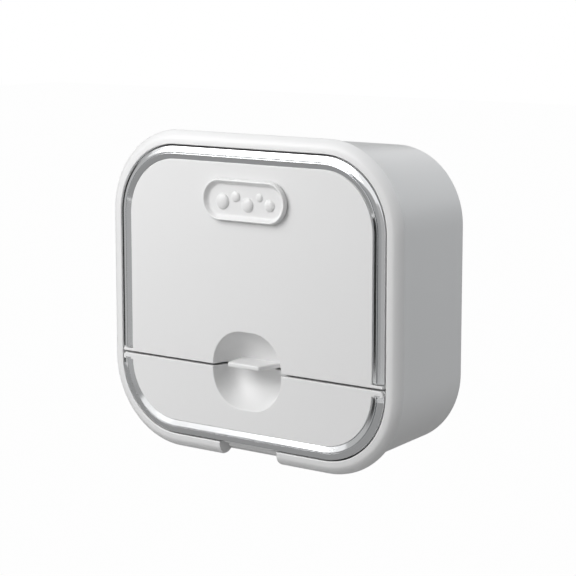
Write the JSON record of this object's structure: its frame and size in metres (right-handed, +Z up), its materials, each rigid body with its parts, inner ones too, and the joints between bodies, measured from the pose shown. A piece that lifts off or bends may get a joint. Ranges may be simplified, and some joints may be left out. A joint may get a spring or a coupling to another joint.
{
  "type": "wall soap box",
  "caption": "Rounded wall soap box with a lift-up flap, slotted soap rack and a pull-out drawer below, hung on a hooked wall plate.",
  "frame": {"origin": "middle of the adhesive pad's rear face, on the wall", "axes": "+Y into the wall, +Z up, +X to the right seen from the front"},
  "size_m": [0.14, 0.0519, 0.1256],
  "materials": {
    "housing_white": "semi-gloss moulded white",
    "door_white": "satin moulded white",
    "inner_white": "matt moulded white",
    "band_chrome": "bright plating",
    "plate_grey": "matt moulded grey",
    "pad_foam": "closed-cell foam tape",
    "bumper_rubber": "soft pale rubber",
    "screw_steel": "zinc-plated steel"
  },
  "bodies": {
    "wall_mount": {"adhesive_pad": "pad_foam", "wall_plate": "plate_grey"},
    "housing": {"outer_housing": "housing_white", "side_frame_left": "inner_white", "side_frame_right": "inner_white", "frame_screw_left_upper": "screw_steel", "frame_screw_left_lower": "screw_steel", "frame_screw_right_upper": "screw_steel", "frame_screw_right_lower": "screw_steel", "hinge_pin_left": "screw_steel", "hinge_pin_right": "screw_steel", "flap_bumper_left": "bumper_rubber", "flap_bumper_right": "bumper_rubber", "soap_rack": "inner_white"},
    "flap": {"flap_panel": "door_white", "flap_band": "band_chrome", "badge_plate": "door_white"},
    "drawer": {"drawer_front": "door_white", "drawer_band": "band_chrome", "drawer_tray": "inner_white", "tray_screw_left": "screw_steel", "tray_screw_right": "screw_steel"}
  },
  "joints": [
    {"name": "housing_lift", "type": "slide", "parent": "wall_mount", "child": "housing", "axis": [0, 0, 1], "range_m": [0, 0.0075]},
    {"name": "flap_hinge", "type": "hinge", "parent": "housing", "child": "flap", "pos_m": [0, -0.0448, 0.028], "axis": [-1, 0, 0], "range_deg": [0, 85]},
    {"name": "drawer_slide", "type": "slide", "parent": "housing", "child": "drawer", "axis": [0, -1, 0], "range_m": [0, 0.026]}
  ]
}
